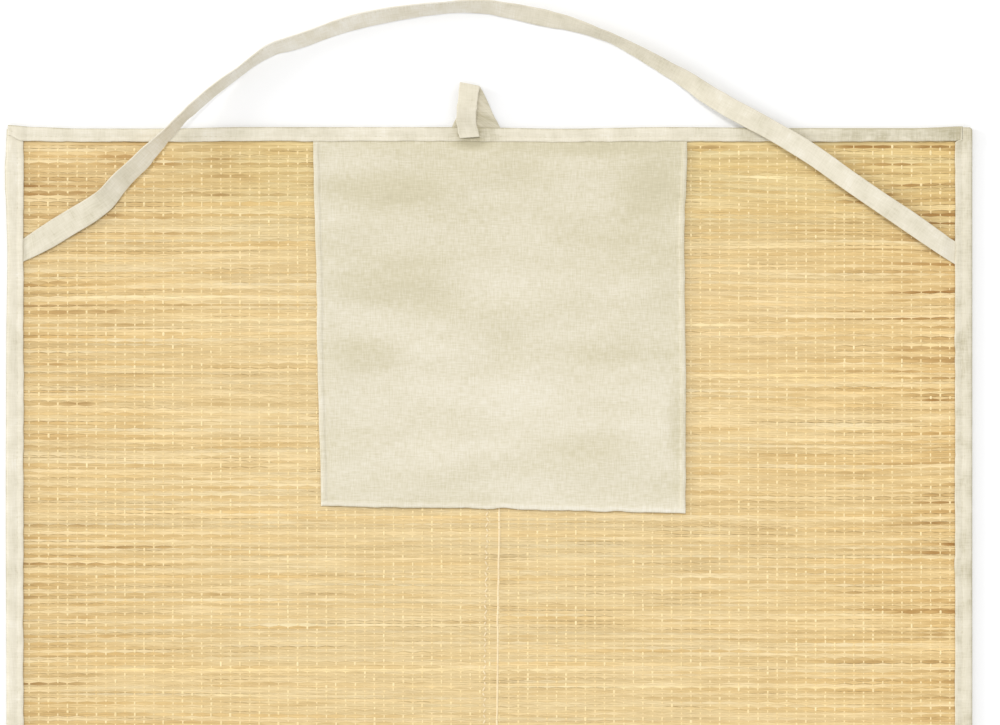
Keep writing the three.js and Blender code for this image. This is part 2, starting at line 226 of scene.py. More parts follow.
def new_piece(name, points, faces, material, run=None, tone=None, per_corner=False, smooth=True):
    """A closed mesh in one piece, from points in millimetres and arrays of faces, riding on the mat.

    run holds the place along and across the cloth. tone is how much it is darkened, mostly painted shade, and
    how much painted light it has at each point or, per corner, its colour and how much painted shade its gap
    has there."""
    faces = faces if isinstance(faces, list) else [faces]
    points = points * MM
    volume = 0.0
    for f in faces:
        p = points[f]
        for k in range(1, f.shape[1] - 1):
            volume += np.einsum("ij,ij->i", p[:, 0], np.cross(p[:, k], p[:, k + 1])).sum()
    loops = np.concatenate([(f[:, ::-1] if volume < 0 else f).ravel() for f in faces])
    sizes = np.concatenate([np.full(len(f), f.shape[1]) for f in faces])
    mesh = bpy.data.meshes.new(name)
    mesh.vertices.add(len(points))
    mesh.vertices.foreach_set("co", points.ravel())
    mesh.loops.add(len(loops))
    mesh.loops.foreach_set("vertex_index", loops.astype(np.int32))
    mesh.polygons.add(len(sizes))
    mesh.polygons.foreach_set("loop_start", (np.cumsum(sizes) - sizes).astype(np.int32))
    mesh.polygons.foreach_set("use_smooth", np.full(len(sizes), smooth))
    if run is not None:
        if not per_corner:
            run, tone = run[loops], joined(*tone.T, 0, 1)[loops]
        mesh.uv_layers.new(name="run").uv.foreach_set("vector", run.astype(np.float32).ravel())
        layer = mesh.color_attributes.new("tone", "FLOAT_COLOR", "CORNER")
        layer.data.foreach_set("color", tone.astype(np.float32).ravel())
    mesh.update(calc_edges=True)
    if mesh.validate():
        raise RuntimeError(f"{name} had faces that had to be mended")
    piece = bpy.data.objects.new(name, mesh)
    bpy.context.collection.objects.link(piece)
    mesh.materials.append(material)
    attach(piece, "root")
    return piece


def new_cloth(name, node, outside, inside, material, run, tone):
    """Cloth between two grids of points that share their run and tone, in place of a node of the CAD."""
    run, tone = (np.concatenate([part.reshape(-1, 2)] * 2) for part in (run, tone))
    piece = new_piece(name, *closed_sheet(outside, inside), material, run, tone)
    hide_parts(node)
    return piece


def repeated(faces, count, points_each):
    """The faces of one small shape, for count of them."""
    first = (np.arange(count) * points_each)[:, None]
    return np.concatenate([first + np.array(face) for face in faces])


def thread_dashes(tops, along, side, length, width, drop, depth):
    """Points and faces of short bulges of thread, each rising from its two ends to its top."""
    n = len(tops)
    length, width, drop = (np.broadcast_to(size, (n,))[:, None] for size in (length, width, drop))
    sections = []
    for s in (-1, 0, 1):
        middle = tops + along * length * s / 2 - UP * drop * abs(s)
        half = side * width * (0.5 - 0.14 * abs(s))
        sections += [middle - half - UP * depth, middle, middle + half - UP * depth]
    quads = [(k, k + 1, k + 4, k + 3) for k in (0, 1, 3, 4)] + [(2, 0, 3, 5), (5, 3, 6, 8)]
    faces = [repeated(quads, n, 9), repeated([(0, 2, 1), (6, 7, 8)], n, 9)]
    return np.stack(sections, axis=1).reshape(-1, 3), faces


def thread_pips(tops, length, width, drop):
    """Points and faces of thread bulges seen only from afar, each a three-sided point."""
    ends = ((-1, -1), (1, -1), (0, 1))
    base = [tops + ACROSS * width * a / 2 + ALONG * (length * b / 2)[:, None] - UP * drop for a, b in ends]
    points = np.stack(base + [tops], axis=1).reshape(-1, 3)
    return points, repeated([(0, 1, 3), (1, 2, 3), (2, 0, 3), (2, 1, 0)], len(tops), 4)


def add_node(tree, kind, inputs=None, stops=None, **settings):
    """Adds a node with its settings, its colour stops, and each input as a value or a link."""
    made = tree.nodes.new(kind)
    for key, value in settings.items():
        setattr(made, key, value)
    for key, value in (inputs or {}).items():
        if isinstance(value, bpy.types.NodeSocket):
            tree.links.new(value, made.inputs[key])
        else:
            made.inputs[key].default_value = value
    if stops:
        ramp = made.color_ramp
        ramp.elements[0].position, ramp.elements[0].color = stops[0]
        ramp.elements[1].position, ramp.elements[1].color = stops[-1]
        for place, colour in stops[1:-1]:
            ramp.elements.new(place).color = colour
    return made


def maths(tree, operation, *values):
    return add_node(tree, "ShaderNodeMath", dict(enumerate(values)), operation=operation).outputs[0]


def ranged(tree, value, low, high, to_low=0.0, to_high=1.0, **settings):
    """The value, moved from between low and high to between to_low and to_high."""
    spans = {"Value": value, "From Min": low, "From Max": high, "To Min": to_low, "To Max": to_high}
    return add_node(tree, "ShaderNodeMapRange", spans, **settings).outputs[0]


def cloth_noise(tree, run, length, width, detail, **more):
    """Noise along the cloth, with patches of about this length and width."""
    place = add_node(tree, "ShaderNodeMapping", {"Vector": run, "Scale": (1 / length, 1 / width, 1)})
    inputs = {"Vector": place.outputs[0], "Scale": 1.0, "Detail": detail, **more}
    return add_node(tree, "ShaderNodeTexNoise", inputs, noise_dimensions="2D").outputs["Fac"]


def new_material(name, roughness, sheen=0.0, ior=1.5):
    """An empty material with its shader, and the tree that feeds it."""
    material = bpy.data.materials.new(name)
    material.use_nodes = True
    tree = material.node_tree
    tree.nodes.clear()
    inputs = {"Roughness": roughness, "IOR": ior, "Sheen Weight": sheen, "Sheen Roughness": 0.5}
    shader = add_node(tree, "ShaderNodeBsdfPrincipled", inputs)
    add_node(tree, "ShaderNodeOutputMaterial", {"Surface": shader.outputs["BSDF"]})
    return material, tree, shader


def add_relief(tree, shader, height, strength, depth):
    """Gives the shader a fine relief, depth millimetres deep."""
    bump = add_node(tree, "ShaderNodeBump", {"Strength": strength, "Distance": depth * MM, "Height": height})
    tree.links.new(bump.outputs[0], shader.inputs["Normal"])


def dried_straw(gap_shade_colour):
    """Dried split rush stems: a satin skin with fine fibres, each stem its own shade, painted shade where two part."""
    material, tree, shader = new_material("dried_rush_straw", 0.52, ior=1.45)
    tone = add_node(tree, "ShaderNodeAttribute", attribute_name="tone")
    run = add_node(tree, "ShaderNodeUVMap", uv_map="run").outputs[0]
    parts = add_node(tree, "ShaderNodeSeparateXYZ", {0: run})
    share = maths(tree, "FRACT", parts.outputs["Y"])
    far = maths(tree, "ABSOLUTE", maths(tree, "SUBTRACT", share, 0.5))
    # Painted shade: the stems are drawn darker in the gap between two, the more so the further they part.
    edge = ranged(tree, far, 0.3, 0.5, interpolation_type="SMOOTHSTEP")
    gap = maths(tree, "MULTIPLY", edge, tone.outputs["Alpha"])
    # Here and there two thin stems share one shed, with a faint line of painted shade between them.
    stem = maths(tree, "FLOOR", parts.outputs["Y"])
    here = add_node(tree, "ShaderNodeCombineXYZ", {0: parts.outputs["X"], 1: stem})
    paired = cloth_noise(tree, here.outputs[0], 45, 1 / 3.7, 1.0)
    shown = ranged(tree, paired, 0.44, 0.62, 0.0, 0.4)
    pair_line = maths(tree, "MULTIPLY", shown, ranged(tree, far, 0.02, 0.12, 1.0, 0.0))
    painted_shade = maths(tree, "MAXIMUM", gap, pair_line)
    # The fibres run along the stem: 30 mm long and a third of a stem wide.
    fibres = cloth_noise(tree, run, 30, 1 / 3.1, 3.0, Roughness=0.6)
    stops = [(0.28, linear("#e6dfd2")), (0.5, linear("#f9f7f3")), (0.7, linear("#ffffff"))]
    shade = add_node(tree, "ShaderNodeValToRGB", {"Fac": fibres}, stops=stops)
    both = {"Factor": 1.0, 6: tone.outputs["Color"], 7: shade.outputs["Color"]}
    fibred = add_node(tree, "ShaderNodeMix", both, data_type="RGBA", blend_type="MULTIPLY")
    both = {"Factor": painted_shade, 6: fibred.outputs[2], 7: linear(gap_shade_colour)}
    parted = add_node(tree, "ShaderNodeMix", both, data_type="RGBA")
    tree.links.new(parted.outputs[2], shader.inputs["Base Color"])
    add_relief(tree, shader, maths(tree, "MULTIPLY_ADD", painted_shade, -0.8, fibres), 0.35, 0.15)
    return material


def cotton_cloth(name, colour, shaded, darkened, pitch, blotch=(14.0, 14.0), clouded=1.0):
    """Unbleached plain-weave cotton: matt with a soft sheen, crossing threads, slubs, and faint cloudy shades.

    The real threads are about 0.4 mm apart, too fine to show here, so pitch draws them coarser. The tone
    layer's red darkens the cloth, mostly as painted shade in folds and beside other pieces, and its green
    paints light onto it."""
    material, tree, shader = new_material(name, 0.9, sheen=0.15)
    run = add_node(tree, "ShaderNodeUVMap", uv_map="run").outputs[0]
    slub = pitch / 0.12
    threads = [cloth_noise(tree, run, *size, 2.0) for size in ((slub, pitch), (pitch, slub))]
    weave = maths(tree, "MULTIPLY", maths(tree, "ADD", *threads), 0.5)
    cloud = cloth_noise(tree, run, *blotch, 3.0)
    mixed = maths(tree, "ADD", weave, ranged(tree, cloud, 0.0, 1.0, 0.5 - clouded / 2, 0.5 + clouded / 2))
    tone = add_node(tree, "ShaderNodeAttribute", attribute_name="tone")
    parts = add_node(tree, "ShaderNodeSeparateColor", {0: tone.outputs["Color"]})
    # Painted shade and light: the tone layer darkens and lightens the cloth's colour.
    with_painted_shade = maths(tree, "MULTIPLY_ADD", parts.outputs[0], -0.8, mixed)
    level = ranged(tree, maths(tree, "MULTIPLY_ADD", parts.outputs[1], 0.6, with_painted_shade), 0.25, 1.65)
    light = [c + 0.35 * (1 - c) for c in linear(colour)]
    stops = [(0.0, linear(darkened)), (0.36, linear(shaded)), (0.64, linear(colour)), (1.0, light)]
    shade = add_node(tree, "ShaderNodeValToRGB", {"Fac": level}, stops=stops)
    tree.links.new(shade.outputs["Color"], shader.inputs["Base Color"])
    add_relief(tree, shader, weave, 0.5, 0.12)
    return material


def cotton_thread(name, colour, shaded):
    """Twisted cotton thread: matt, with a slightly uneven cream."""
    material, tree, shader = new_material(name, 0.85, sheen=0.1)
    place = add_node(tree, "ShaderNodeTexCoord")
    inputs = {"Vector": place.outputs["Object"], "Scale": 160.0, "Detail": 2.0}
    uneven = add_node(tree, "ShaderNodeTexNoise", inputs)
    stops = [(0.3, linear(shaded)), (0.7, linear(colour))]
    shade = add_node(tree, "ShaderNodeValToRGB", {"Fac": uneven.outputs["Fac"]}, stops=stops)
    tree.links.new(shade.outputs["Color"], shader.inputs["Base Color"])
    return material


def colour_property(name, description, default):
    parts = [int(default[i : i + 2], 16) / 255 for i in (1, 3, 5)]
    limits = {"subtype": "COLOR_GAMMA", "size": 3, "min": 0, "max": 1}
    return bpy.props.FloatVectorProperty(name=name, description=description, default=parts, **limits)


def length_property(name, description, default):
    limits = {"min": 0, "unit": "LENGTH", "precision": 5}
    return bpy.props.FloatProperty(name=name, description=description, default=default * MM, **limits)


def light_property(name, description, default):
    return bpy.props.FloatProperty(name=name, description=description, default=default, min=0)


class MatStrawSettings(bpy.types.PropertyGroup):
    """Sizes and shades of the woven straw."""

    pick_pitch: length_property("Stem spacing", "Distance from one straw stem to the next along the mat", 1.56)
    warp_pitch: length_property("Warp spacing", "Distance between the cotton warp threads", 5.96)
    thread_width: length_property("Warp thread width", "Width of a cotton warp thread where it shows", 1.25)
    brown: colour_property("Brown stems", "Shade of the darkest stems", "#a87f41")
    tan: colour_property("Tan stems", "Shade of the butt ends of most stems", "#d7b97f")
    straw: colour_property("Straw stems", "Shade of most stems", "#e4cb96")
    pale: colour_property("Pale stems", "Shade of thin, pale stem tips", "#eed8a8")
    bright: colour_property("Bright stems", "Shade of the few brightest stems", "#f7e3b0")
    # The colour of the painted shade in the gaps between stems.
    gap: colour_property("Gaps", "Shade in the gaps between stems", "#82622b")
    warp: colour_property("Warp threads", "Shade of the cotton warp threads", "#f0dcab")


class MatClothSettings(bpy.types.PropertyGroup):
    """Sizes and shades of the cotton pieces."""

    left_width: length_property("Left binding", "Width of the left binding", 10.6)
    right_width: length_property("Right binding", "Width of the right binding", 10.9)
    end_width: length_property("Head and foot binding", "Width of the head and foot bindings", 8.7)
    strap_width: length_property("Strap width", "Width of the folded shoulder strap", 12.0)
    stitch_pitch: length_property("Stitch spacing", "Distance between stitches", 3.1)
    tape: colour_property("Tape", "Shade of the cotton tape", "#dad3c0")
    tape_shaded: colour_property("Tape, darker", "Shade of the darker clouds in the tape", "#cfc8b3")
    # The colour of the deepest painted shade in the tape's folds and beside other pieces, and in the panel.
    tape_painted_shade: colour_property("Tape, soiled", "Shade of the tape inside its folds", "#b0a88c")
    panel: colour_property("Panel", "Shade of the head panel's cotton", "#d6cfbb")
    panel_shaded: colour_property("Panel, darker", "Shade of the darker clouds in the panel", "#c4bca0")
    stitch: colour_property("Stitches", "Shade of the sewing thread", "#d8d1bb")


class MatStageSettings(bpy.types.PropertyGroup):
    """The floor, the lights and the camera."""

    floor: colour_property("Floor", "Shade of the plain floor", "#eeeeee")
    camera_height: length_property("Camera height", "Height of the camera above the floor", 1728.0)
    key: light_property("Main light", "Strength of the light from above", 0.86)
    side: light_property("Side light", "Strength of the low light from the left", 1.4)
    sky: light_property("Even light", "Strength of the light from all round", 0.90)


class Weave:
    """Where every straw stem lies: its edges, height and shade, and where the warp threads cross it."""

    def __init__(self, settings):
        rng = np.random.default_rng(41)
        normal = rng.standard_normal
        self.pitch = settings.warp_pitch / MM
        span = 2 * STRAW_Y
        self.count = count = round(span / (settings.pick_pitch / MM))
        edges = summed(np.clip(1 + 0.2 * normal(count), 0.62, 1.6))
        self.edges = -STRAW_Y + edges * span / edges[-1]
        self.odd = 1 - 2 * (np.arange(count + 1) % 2)
        self.pinch = normal((count + 1, 16))
        self.swell = normal((count + 1, 12))
        self.drift = normal((60, 8))
        self.tone_far = normal((count, 15))
        self.tone_near = normal((count, 40))
        self.base = normal(count)
        self.hue = normal((count, 8))
        self.open = rng.random((count + 1, 14))
        self.butt_left = ((np.arange(count) // 2) % 2 == 0) ^ (rng.random(count) < 0.06)
        self.bright = rng.random(count) < 0.05
        self.bright_from = rng.uniform(-300, 180, count)
        self.bright_to = self.bright_from + rng.uniform(90, 420, count)
        self.high = rng.uniform(0.85, 1.15, count)
        shades = (settings.brown, settings.tan, settings.straw, settings.pale, settings.bright)
        self.stops = np.array([linear(hex_of(shade))[:3] for shade in shades])

    def near(self, x):
        """Whether the places x are close enough together to show each crossing."""
        return len(x) > 90

    def ripple(self, k, x):
        """1 where a stem passes over the warp threads and -1 where it passes under."""
        return self.odd[k, None] * np.cos(math.pi * x / self.pitch)

    def edge_lines(self, x, first, last):
        """The y of each stem's edge at the places x, for edges first to last."""
        k = np.arange(first, last + 1)
        y = self.edges[k, None]
        # The stems drift together, in rows 32 mm apart, more on the right than on the left.
        row = (y[:, 0] + HALF_LENGTH) / 32
        i = np.floor(row).astype(int)
        f = eased(row - i)[:, None]
        drift = wander(self.drift, x, 110.0)
        drift = drift[i] * (1 - f) + drift[np.minimum(i + 1, len(drift) - 1)] * f
        from_end = HALF_LENGTH - np.abs(y)
        lie = drift * (0.5 + 0.6 * smooth_step(x, 0, 160)) * smooth_step(from_end, 8, 28)
        wave = -0.30 * (1 + 0.3 * wander(self.pinch[k], x, 45.0)) * self.near(x) * self.ripple(k, x)
        swell = 0.13 * wander(self.swell[k], x, 60.0)
        lines = y + lie + (wave + swell) * smooth_step(from_end, 5.5, 8.5)
        # No stem gets thinner than this.
        thinnest = 0.5 * np.arange(len(k))[:, None]
        return np.maximum.accumulate(lines - thinnest, axis=0) + thinnest

    def openness(self, k, x):
        """How far two stems part, from 0 to 1. They part most near the side edges and the head."""
        sides = smooth_step(np.abs(x), 150, 295)
        level = 0.80 - 0.20 * sides - 0.12 * smooth_step(self.edges[k, None], 800, 890)
        parted = 0.30 + 1.1 * smooth_step(wander(self.open[k], x, 55.0), level, 1.0)
        # The stems are pinched together at each warp thread and part most halfway between two.
        between = 0.4 + 0.6 * np.sin(math.pi * x / self.pitch) ** 2 if self.near(x) else 0.75
        return np.clip(parted * between, 0, 1)

    def tones(self, k, x):
        """The shade of each stem at the places x, as linear colours."""
        y = self.edges[k, None]
        left, right = smooth_step(-x, 190, 292), smooth_step(x, 190, 292)
        from_butt = np.where(self.butt_left[k, None], HALF_WIDTH + x, HALF_WIDTH - x) / (2 * HALF_WIDTH)
        spread = 0.70 + 0.28 * smooth_step(np.abs(x), 60, 260) + 0.5 * smooth_step(x, 200, 292)
        spread = spread + 0.45 * smooth_step(y, 830, 885)
        mixed = 0.12 * self.base[k, None] + 0.36 * wander(self.tone_far[k], x, 50.0)
        mixed = mixed + 0.24 * wander(self.tone_near[k], x, 17.0)
        level = 1.45 + 1.3 * from_butt**0.85 + spread * mixed
        # Darker towards the side edges and the head: partly browner stems, partly painted shade where the light falls
        # off.
        level = level - 0.18 * left - 0.38 * right - 0.5 * smooth_step(y, 790, 885)
        ends = [(end[k, None] - 15, end[k, None] + 15) for end in (self.bright_from, self.bright_to)]
        level = np.clip(level + self.bright[k, None] * stretch(x, *ends) * 1.3, 0, 3.999)
        i = np.floor(level).astype(int)
        f = (level - i)[..., None]
        colour = self.stops[i] * (1 - f) + self.stops[i + 1] * f
        # Most stems lean to olive in the middle and to orange towards the sides.
        hue = wander(self.hue[k], x, 90.0) + 1.1 * smooth_step(-x, 40, 240) + 2.0 * smooth_step(x, 40, 290) - 0.3
        green = 0.014 * smooth_step(y, 800, 880) * smooth_step(x, -240, -120)
        tint = hue[..., None] * np.array([0.010, -0.010, -0.050]) + green[..., None] * np.array([-1.5, 1.0, -1.5])
        return colour * (1 + tint)

    def ridges(self, k, x):
        """The height of each stem's ridge."""
        return RIDGE_FOOT + 0.50 * self.high[k, None] + 0.17 * self.ripple(k, x)


def under_tape(x, y):
    """1 where the bindings press the straw, 0 in the open field."""
    return smooth_step(np.maximum(np.abs(x) - FIELD_X, np.abs(y) - FIELD_Y), -1.5, 1.5)


def straw_band(name, weave, first, last, x, material):
    """A band of stems, each with a ridge between two edges, over an underside of the same stems."""
    k, edges = np.arange(first, last), np.arange(first, last + 1)

    def lines(places):
        sides = weave.edge_lines(places, first, last)
        y = np.empty((2 * len(k) + 1, len(places)))
        y[0::2], y[1::2] = sides, (sides[:-1] + sides[1:]) / 2
        return y

    y, parted = lines(x), weave.openness(edges, x)
    z = np.empty_like(y)
    z[0::2], z[1::2] = 1.55 - 0.30 * parted, weave.ridges(k, x)
    press = under_tape(x, y)
    top = joined(x, y, z * (1 - press) + (1.6 + 0.55 * (z - 1.3)) * press)

    xb = np.array([-STRAW_X, -290.5, -286.0, 286.0, 290.5, STRAW_X])
    yb = lines(xb)
    yb[:, 0], yb[:, -1] = y[:, 0], y[:, -1]
    press = under_tape(xb, yb)
    zb = np.where(np.arange(len(yb)) % 2, 0.05, 0.5)[:, None]
    bottom = joined(xb, yb, zb * (1 - press) + 1.32 * press)

    rows, columns, under = len(y), len(x), len(xb)
    start = rows * columns
    i = np.arange(rows - 1)
    left = joined(i * columns, (i + 1) * columns, start + (i + 1) * under, start + i * under)
    a, b = (i + 1) * columns - 1, start + (i + 1) * under - 1
    right = joined(a + columns, a, b, b + under)
    near = np.concatenate([np.arange(columns)[::-1], start + np.arange(under)])[None]
    far = np.concatenate([start - columns + np.arange(columns), start + rows * under - 1 - np.arange(under)])[None]
    faces = [np.concatenate([grid(rows, columns), grid(rows, under, start)[:, ::-1], left, right]), near, far]

    def corners(places, gaps):
        """Every corner's place along its stem and across it, its shade and how far the stems part there."""
        steps = np.meshgrid(np.arange(rows - 1), np.arange(len(places) - 1), indexing="ij")
        r, c = (step.ravel() for step in steps)
        pick, low = r // 2, r // 2 + (r % 2) * 0.5
        column = joined(c, c + 1, c + 1, c)
        across = joined(low, low, low + 0.5, low + 0.5) + first
        # A corner on the line between two stems is moved a little into its own.
        inwards = np.where(across > (pick + first + 0.5)[:, None], -0.001, 0.001)
        across = np.where(np.isclose(across % 1, 0), across + inwards, across)
        # How far the stems part sets how much painted shade the gap gets.
        gap = gaps[joined(pick, pick, pick + 1, pick + 1), column]
        shade = np.concatenate([weave.tones(k, places)[pick[:, None], column], gap[..., None]], axis=2)
        return joined(places[column], across).reshape(-1, 2), shade.reshape(-1, 4)

    run_t, tone_t = corners(x, parted)
    # The underside's gaps get more painted shade than the top's.
    run_b, tone_b = corners(xb, np.clip(weave.openness(edges, xb) * 1.2, 0, 1))
    flip = np.arange(len(run_b)).reshape(-1, 4)[:, ::-1].ravel()
    rest = 2 * 4 * (rows - 1) + 2 * (columns + under)
    run = np.concatenate([run_t, run_b[flip], np.full((rest, 2), 0.5)])
    tone = np.concatenate([tone_t, tone_b[flip], np.tile(np.append(weave.stops[2], 0.0), (rest, 1))])
    points = np.concatenate([top.reshape(-1, 3), bottom.reshape(-1, 3)])
    return new_piece(name, points, faces, material, run, tone, per_corner=True)


def crossings(weave, first, last):
    """Where warp threads pass over stems, and the stem's width there."""
    x, k = THREADS * weave.pitch, np.arange(first, last)
    lines = weave.edge_lines(x, first, last)
    middle, width = (lines[:-1] + lines[1:]) / 2, lines[1:] - lines[:-1]
    over = (k[:, None] + THREADS) % 2 == 1
    places = joined(x, middle, weave.ridges(k, x))[over]
    keep = np.abs(places[:, 1]) < 889.0
    return places[keep], width[over][keep]


class MAT_OT_straw(bpy.types.Operator):
    """Build the woven straw and its cotton warp threads"""

    bl_idname = "beach_mat.straw"
    bl_label = "Woven straw"

    def execute(self, context):
        settings = context.scene.mat_straw
        weave = Weave(settings)
        straw = dried_straw(hex_of(settings.gap))
        warp = cotton_thread("cotton_warp_thread", hex_of(settings.warp), "#e3cc96")
        split, middle = (int(np.searchsorted(weave.edges, y)) for y in (FINE_FROM, -190.0))
        fine, coarse = (
            np.concatenate([[-STRAW_X], np.arange(-n, n + 1) * weave.pitch * share, [STRAW_X]])
            for n, share in ((97, 0.5), (19, 2.5))
        )
        head = straw_band("straw_weave_head", weave, split, weave.count, fine, straw)
        body = straw_band("straw_weave_body", weave, 0, split, coarse, straw)
        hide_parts("straw_mat")
        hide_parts("straw_mat")
        rng = np.random.default_rng(5)
        wide = settings.thread_width / MM
        places, widths = crossings(weave, split, weave.count)
        n = len(places)
        places += rng.normal(0, 0.09, places.shape) * ACROSS
        # One thread in eight lies looser and shows longer.
        long = rng.random(n) < 0.12
        places[:, 2] += np.where(long, 0.17, rng.uniform(0.08, 0.15, n))
        reach = widths + rng.uniform(-0.1, 0.3, n) + np.where(long, rng.uniform(0.4, 1.5, n), 0)
        thick, drop = wide * rng.uniform(0.7, 1.2, n), np.where(long, 0.2, 0.34)
        dashes = thread_dashes(places, ALONG, ACROSS, reach, thick, drop, 0.17)
        pieces = [new_piece("warp_threads_head", *dashes, warp, smooth=False)]
        for name, first, last in (("warp_threads_middle", middle, split), ("warp_threads_foot", 0, middle)):
            places, widths = crossings(weave, first, last)
            pips = thread_pips(places + 0.2 * UP, widths + 0.9, wide * 1.2, 0.4)
            pieces.append(new_piece(name, *pips, warp, smooth=False))
        # Below, each warp thread shows between the stems as one long line.
        cross = np.array([(-0.4, 0.42), (0.4, 0.42), (0.3, 0.14), (-0.3, 0.14)])
        x, ends = THREADS * weave.pitch, np.array([-888.0, 888.0])
        bars = joined(x[:, None, None] + cross[:, 0], ends[:, None], cross[:, 1]).reshape(-1, 3)
        sides = ((0, 1, 5, 4), (1, 2, 6, 5), (2, 3, 7, 6), (3, 0, 4, 7), (3, 2, 1, 0), (4, 5, 6, 7))
        pieces.append(new_piece("warp_threads_under", bars, repeated(sides, len(x), 8), warp))
        return {"FINISHED"}


class MAT_OT_seam(bpy.types.Operator):
    """Lay the two seam threads that run down the middle of the straw"""

    bl_idname = "beach_mat.seam"
    bl_label = "Middle seam"

    def execute(self, context):
        material = cotton_thread("cotton_seam_thread", "#ead8b2", "#dfcba3")
        rng = np.random.default_rng(11)
        y = np.concatenate([np.arange(-889.0, FINE_FROM, 8.0), np.arange(FINE_FROM, 676.0, 1.6)])
        x = 5.9 - 1.2 * smooth_step(-y, -665, -530) + 0.25 * wander(rng.standard_normal(300), y, 9.0, -900.0)
        shape = np.array([(-0.6, 1.95), (-0.4, 2.16), (0.0, 2.24), (0.4, 2.16), (0.6, 1.95)])
        rise = 0.06 * wander(rng.standard_normal(900), y, 2.4, -900.0)
        top = joined(x[:, None] + shape[:, 0], y[:, None], shape[:, 1] + rise[:, None])
        cord = new_piece("seam_cord", *closed_sheet(top, joined(top[..., 0], top[..., 1], 1.7)), material)
        steps = np.arange(-887.0, 664.0, 3.4)
        turn = np.where(np.arange(len(steps)) % 2, 0.55, -0.55)
        lean = unit(joined(turn, 1.0, 0.0))
        x = -1.6 - 1.8 * smooth_step(-steps, -665, -530) + rng.normal(0, 0.25, len(steps))
        long = rng.uniform(1.6, 3.0, len(steps))
        dashes = thread_dashes(joined(x, steps, 2.36), lean, np.cross(lean, UP), long, 1.0, 0.15, 0.2)
        zigzag = new_piece("seam_zigzag", *dashes, material, smooth=False)
        return {"FINISHED"}


def binding(name, along, outer, inner, levels, place, material, groove, seed, lift=0.0):
    """A folded binding tape: both leaves, the fold along the outer edge, and the line where it is sewn.

    outer and inner are how far the fold and the leaves' edges lie across the tape, levels the height of the
    two leaves' faces, and place turns (along, across, z) into the mat's own places."""
    rng = np.random.default_rng(seed)
    uneven = lambda much, spacing: much * wander(
        rng.standard_normal(int(1900 / spacing) + 6), along, spacing, -905.0
    )
    edge_top = inner + uneven(0.16, 7.0) + uneven(0.07, 2.6)
    edge_low = inner + uneven(0.25, 9.0)
    low_out, low_in, top_in, top_out = (level + 0 * along for level in levels)
    high = top_out + uneven(0.07, 4.0)
    seam = (edge_top - groove - outer) / (edge_top - outer)
    wall = outer + 0.55
    out_points, in_points = [], []
    for at_seam, share, dip in OUTER_LEAF:
        share = share + seam * at_seam
        s = outer + (edge_top - outer) * share
        lifted = lift * share**1.5
        z = high - dip + lifted
        out_points.append((s, z))
        # The leaf's inner face follows, one cloth's thickness down.
        in_points.append((np.maximum(s, wall), np.minimum(top_in + lifted, z - 0.25)))
    out_points.append((outer, (low_out + top_out) / 2))
    in_points.append((wall, (low_in + top_in) / 2))
    for share, rise in INNER_LEAF:
        s = outer + (edge_low - outer) * share
        out_points.append((s, low_out + rise))
        in_points.append((np.maximum(s, wall), low_in))
    (s_out, z_out), (s_in, z_in) = (
        [np.stack(part, axis=1) for part in zip(*points)] for points in (out_points, in_points)
    )
    outside, inside = place(along[:, None], s_out, z_out), place(along[:, None], s_in, z_in)
    across = travelled(outside)
    # Painted shade: the tape is darker at its fold and towards the right head corner, where the light falls off,
    # and a painted shadow lies beside the loop's foot.
    x, y = outside[..., 0], outside[..., 1]
    to_corner = 0.28 * smooth_step(x, 60, 240) + 0.3 * smooth_step(y, 880, 895) * smooth_step(x, 80, 260)
    painted_shade = 0.8 * (1 - smooth_step(s_out - outer[:, None], 0.25, 1.1)) + 0.95 * patch(x, y, -10, 896, 15, 7)
    painted_shade = painted_shade + to_corner * smooth_step(y, -900, 700)
    run, tone = joined(along[:, None], across), joined(painted_shade, 0.0)
    piece = new_cloth(name + "_tape", name, outside, inside, material, run, tone)
    return piece, float(across[:, -1].mean())


def stitch_row(name, places, way, side, length=2.0, width=0.5):
    """A row of stitches, each a short bulge of thread sunk in the cloth."""
    dashes = thread_dashes(places, way, side, length, width, 0.22, 0.2)
    piece = new_piece(name, *dashes, bpy.data.materials["cotton_sewing_thread"], smooth=False)
    return piece


def side_places(low, high):
    """Places along a side binding, close together where the view shows it."""
    places = [np.arange(low, FINE_FROM, 9.0), np.arange(FINE_FROM, high, 1.9), [high]]
    return np.unique(np.round(np.concatenate(places), 4))


def leaf_levels(*changes):
    """The heights of a binding's faces in the open, each changed by a share towards other heights."""
    return [a + sum(share * (other[i] - a) for share, other in changes) for i, a in enumerate(OPEN)]


